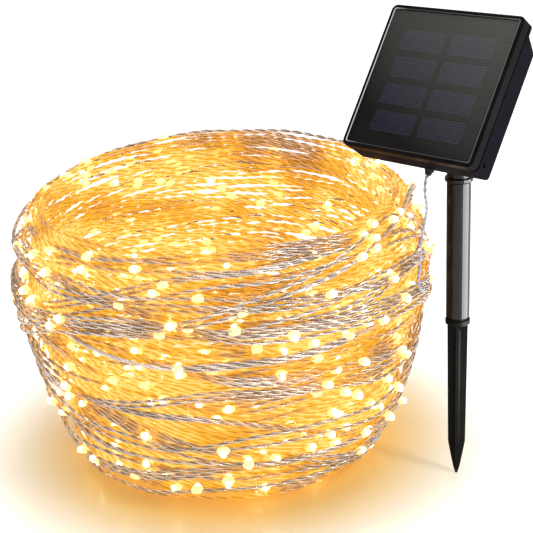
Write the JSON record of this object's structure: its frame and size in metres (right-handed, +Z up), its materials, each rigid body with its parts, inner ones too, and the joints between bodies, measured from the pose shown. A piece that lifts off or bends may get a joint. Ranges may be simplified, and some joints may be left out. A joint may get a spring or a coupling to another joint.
{
  "type": "solar string lights",
  "caption": "Square solar panel head with a battery case, tilting on a swivelling neck over a ground stake, with a wound string of small warm LED lights.",
  "frame": {"origin": "tip of the ground spike", "axes": "+Z up along the stake, -Y towards the front, -X towards the wound string"},
  "size_m": [0.3617, 0.315, 0.3361],
  "materials": {
    "frame_black": "satin black moulding",
    "case_black": "fine matte texture",
    "stake_grey": "satin dark grey",
    "cover": "clear cover",
    "cell": "dark blue silicon",
    "backing": "black board",
    "pcb": "green board",
    "rubber": "matte rubber",
    "steel": "plated steel",
    "sleeve": "plain shrink sleeve",
    "wire": "clear jacket over silver-coloured strands"
  },
  "bodies": {
    "stake": {"ground_spike": "stake_grey", "stake_tube": "stake_grey", "neck_ring": "stake_grey", "lead_wire": "wire", "string_coil": "wire"},
    "neck": {"neck_post": "stake_grey"},
    "head": {"front_frame": "frame_black", "panel_glass": "cover", "solar_board": "backing", "seal_gasket": "rubber", "back_case": "case_black", "battery": "sleeve", "battery_spring": "steel", "battery_contact": "steel", "circuit_board": "pcb", "power_switch": "backing", "mode_switch": "backing", "cable_gland": "rubber", "hinge_bolt": "steel", "hinge_knob": "frame_black", "solar_cell_1": "cell", "solar_cell_2": "cell", "solar_cell_3": "cell", "solar_cell_4": "cell", "solar_cell_5": "cell", "solar_cell_6": "cell", "solar_cell_7": "cell", "solar_cell_8": "cell", "case_screw_1": "steel", "case_screw_2": "steel", "case_screw_3": "steel", "case_screw_4": "steel"},
    "power_button_body": {"power_button": "rubber"},
    "mode_button_body": {"mode_button": "rubber"}
  },
  "joints": [
    {"name": "neck_swivel", "type": "hinge", "parent": "stake", "child": "neck", "pos_m": [0, 0, 0.226], "axis": [0, 0, 1], "range_deg": [-35, 35], "deforming": ["lead_wire"]},
    {"name": "head_tilt", "type": "hinge", "parent": "neck", "child": "head", "pos_m": [0, 0, 0.2722], "axis": [0.7302, -0.6833, 0], "range_deg": [-54, 32], "deforming": ["lead_wire"]},
    {"name": "power_press", "type": "slide", "parent": "head", "child": "power_button_body", "axis": [-0.5556, -0.5937, 0.5821], "range_m": [0, 0.001], "stiffness_N_per_m": 400},
    {"name": "mode_press", "type": "slide", "parent": "head", "child": "mode_button_body", "axis": [-0.5556, -0.5937, 0.5821], "range_m": [0, 0.001], "stiffness_N_per_m": 400}
  ]
}
